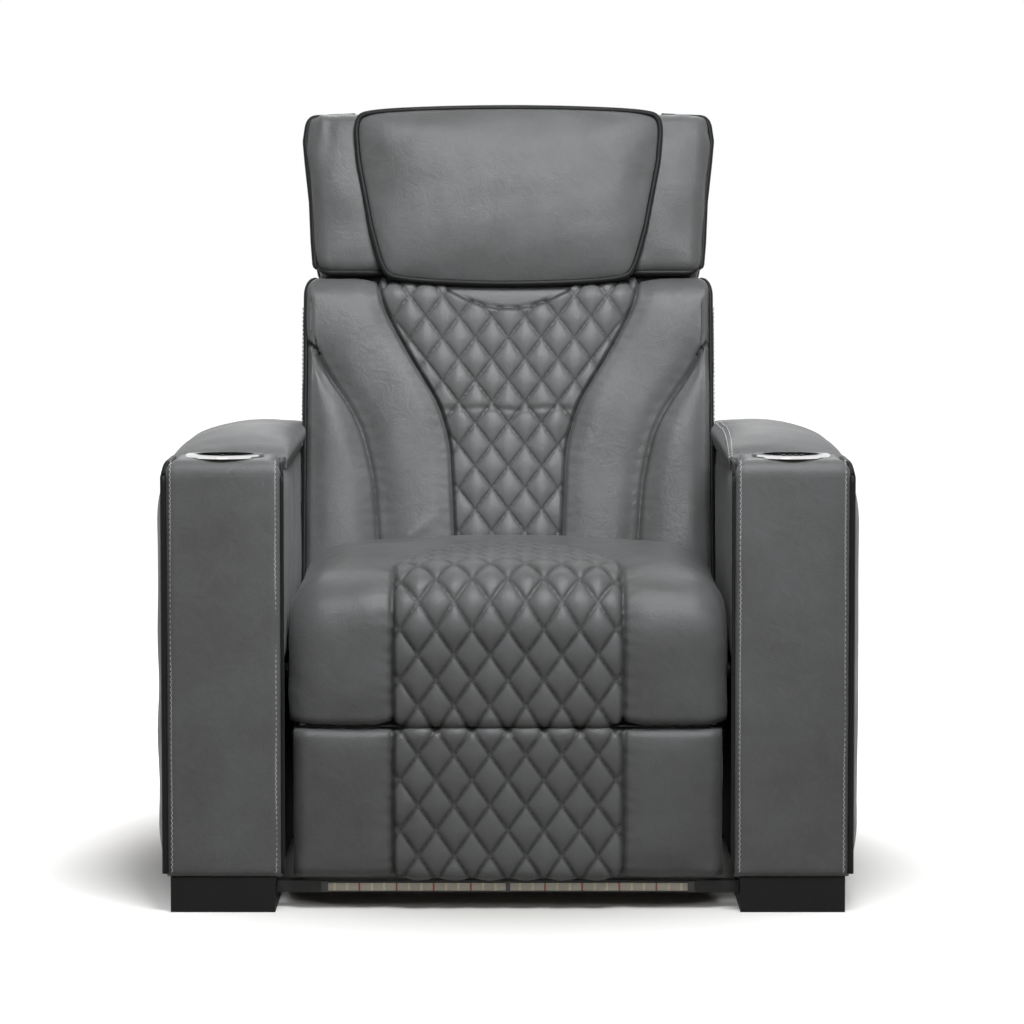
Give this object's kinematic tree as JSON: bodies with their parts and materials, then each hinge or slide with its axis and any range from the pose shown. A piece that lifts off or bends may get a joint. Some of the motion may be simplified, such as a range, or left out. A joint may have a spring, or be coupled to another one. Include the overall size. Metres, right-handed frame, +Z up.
{
  "type": "reclining cinema seat",
  "caption": "Grey leather home-cinema recliner: quilted seat, back and footrest, storage arms with chromed cup holders, powered recline and headrest.",
  "frame": {"origin": "on the floor under the middle of the whole seat at rest", "axes": "+Z up, the seat's front faces -Y, +X is to the right as seen from the front"},
  "size_m": [0.95, 0.8608, 1.0843],
  "materials": {
    "feet_black": "matte moulded feet",
    "steel": "zinc-plated",
    "frame_steel": "satin black powder coat",
    "plywood": "bare plywood",
    "leather": "semi-gloss grey leather with fine grain",
    "chrome": "polished",
    "black_plastic": "fine matte",
    "webbing": "woven elastic",
    "rail": "satin black",
    "light": "milky light strip"
  },
  "bodies": {
    "base": {"feet": "feet_black", "bolts": "steel", "arm_frame_left": "plywood", "arm_frame_right": "plywood", "arm_outer_panels": "leather", "arm_inner_panels": "leather", "arm_front_cover_left": "leather", "arm_front_cover_right": "leather", "arm_rear_tops": "leather", "cup_holder_left": "chrome", "cup_holder_right": "chrome", "control_pads": "black_plastic", "storage_tub_left": "black_plastic", "storage_tub_right": "black_plastic", "lid_hinge_bases": "steel", "side_plates": "frame_steel", "cross_tubes": "frame_steel", "pivot_pins": "steel", "seat_frame": "frame_steel", "seat_webbing": "webbing", "seat_cushion": "leather", "footrest_motor": "black_plastic", "recline_motor": "black_plastic", "power_supply": "black_plastic", "light_rail": "rail", "light_strip": "light", "light_clips": "black_plastic", "rear_panel": "leather"},
    "footrest": {"footrest_cushion": "leather", "footrest_board": "plywood", "footrest_brackets": "steel"},
    "front_cranks": {"front_cranks": "steel"},
    "rear_cranks": {"rear_cranks": "steel"},
    "upper_couplers": {"upper_couplers": "steel"},
    "lower_couplers": {"lower_couplers": "steel"},
    "footrest_rod": {"footrest_rod": "steel"},
    "recline_rod": {"recline_rod": "steel"},
    "headrest_rod": {"headrest_rod": "steel"},
    "back": {"back_frame": "frame_steel", "back_brackets": "frame_steel", "back_webbing": "webbing", "back_cushion": "leather", "back_rear_cover": "leather", "back_side_covers": "leather", "headrest_motor": "black_plastic"},
    "headrest": {"headrest_frame": "frame_steel", "headrest_wings": "leather", "headrest_pillow": "leather", "headrest_rear_cover": "leather"},
    "lid_left": {"arm_lid_left": "leather", "lid_board_left": "plywood", "lid_leaf_left": "steel"},
    "lid_right": {"arm_lid_right": "leather", "lid_board_right": "plywood", "lid_leaf_right": "steel"},
    "light_button": {"light_button": "black_plastic"},
    "footrest_up_button": {"footrest_up_button": "black_plastic"},
    "footrest_down_button": {"footrest_down_button": "black_plastic"},
    "head_up_button": {"head_up_button": "black_plastic"},
    "head_down_button": {"head_down_button": "black_plastic"}
  },
  "joints": [
    {"name": "footrest_swing", "type": "hinge", "parent": "base", "child": "footrest", "pos_m": [0, -0.3875, 0.352], "axis": [-1, 0, 0], "range_deg": [0, 90]},
    {"name": "front_crank_turn", "type": "hinge", "parent": "base", "child": "front_cranks", "pos_m": [0, -0.2805, 0.262], "axis": [-1, 0, 0], "range_deg": [0, 90]},
    {"name": "rear_crank_turn", "type": "hinge", "parent": "base", "child": "rear_cranks", "pos_m": [0, -0.21531, 0.20717], "axis": [-1, 0, 0], "range_deg": [0, 90]},
    {"name": "upper_coupler_turn", "type": "hinge", "parent": "footrest", "child": "upper_couplers", "pos_m": [0, -0.33314, 0.24055], "axis": [1, 0, 0], "range_deg": [0, 90]},
    {"name": "lower_coupler_turn", "type": "hinge", "parent": "footrest", "child": "lower_couplers", "pos_m": [0, -0.29763, 0.16775], "axis": [1, 0, 0], "range_deg": [0, 90]},
    {"name": "footrest_drive", "type": "slide", "parent": "base", "child": "footrest_rod", "axis": [0, -1, 0], "range_m": [0, 0.08485]},
    {"name": "back_recline", "type": "hinge", "parent": "base", "child": "back", "pos_m": [0, 0.1795, 0.31], "axis": [-1, 0, 0], "range_deg": [0, 35]},
    {"name": "recline_drive", "type": "slide", "parent": "base", "child": "recline_rod", "axis": [0, -1, 0], "range_m": [0, 0.06014]},
    {"name": "headrest_tilt", "type": "hinge", "parent": "back", "child": "headrest", "pos_m": [0, 0.25704, 0.83119], "axis": [1, 0, 0], "range_deg": [0, 30]},
    {"name": "headrest_drive", "type": "slide", "parent": "back", "child": "headrest_rod", "axis": [0, 0.2588, 0.9659], "range_m": [0, 0.05176]},
    {"name": "lid_left_turn", "type": "hinge", "parent": "base", "child": "lid_left", "pos_m": [0, 0.1286, 0.6078], "axis": [-1, 0, 0], "range_deg": [0, 92]},
    {"name": "lid_right_turn", "type": "hinge", "parent": "base", "child": "lid_right", "pos_m": [0, 0.1286, 0.6078], "axis": [-1, 0, 0], "range_deg": [0, 92]},
    {"name": "light_button_press", "type": "slide", "parent": "base", "child": "light_button", "axis": [0, 0, -1], "range_m": [0, 0.0012], "stiffness_N_per_m": 300, "springref_m": -0.0003},
    {"name": "footrest_up_button_press", "type": "slide", "parent": "base", "child": "footrest_up_button", "axis": [0, 0, -1], "range_m": [0, 0.0012], "stiffness_N_per_m": 300, "springref_m": -0.0003},
    {"name": "footrest_down_button_press", "type": "slide", "parent": "base", "child": "footrest_down_button", "axis": [0, 0, -1], "range_m": [0, 0.0012], "stiffness_N_per_m": 300, "springref_m": -0.0003},
    {"name": "head_up_button_press", "type": "slide", "parent": "base", "child": "head_up_button", "axis": [0, 0, -1], "range_m": [0, 0.0012], "stiffness_N_per_m": 300, "springref_m": -0.0003},
    {"name": "head_down_button_press", "type": "slide", "parent": "base", "child": "head_down_button", "axis": [0, 0, -1], "range_m": [0, 0.0012], "stiffness_N_per_m": 300, "springref_m": -0.0003}
  ],
  "couplings": [
    {"joint": "front_crank_turn", "follows": "footrest_swing", "ratio": 1},
    {"joint": "rear_crank_turn", "follows": "footrest_swing", "ratio": 1},
    {"joint": "upper_coupler_turn", "follows": "footrest_swing", "ratio": 1},
    {"joint": "lower_coupler_turn", "follows": "footrest_swing", "ratio": 1},
    {"joint": "footrest_drive", "follows": "footrest_swing", "m_per_rad": 0.054019},
    {"joint": "recline_drive", "follows": "back_recline", "m_per_rad": 0.098452},
    {"joint": "headrest_drive", "follows": "headrest_tilt", "m_per_rad": 0.098861}
  ]
}
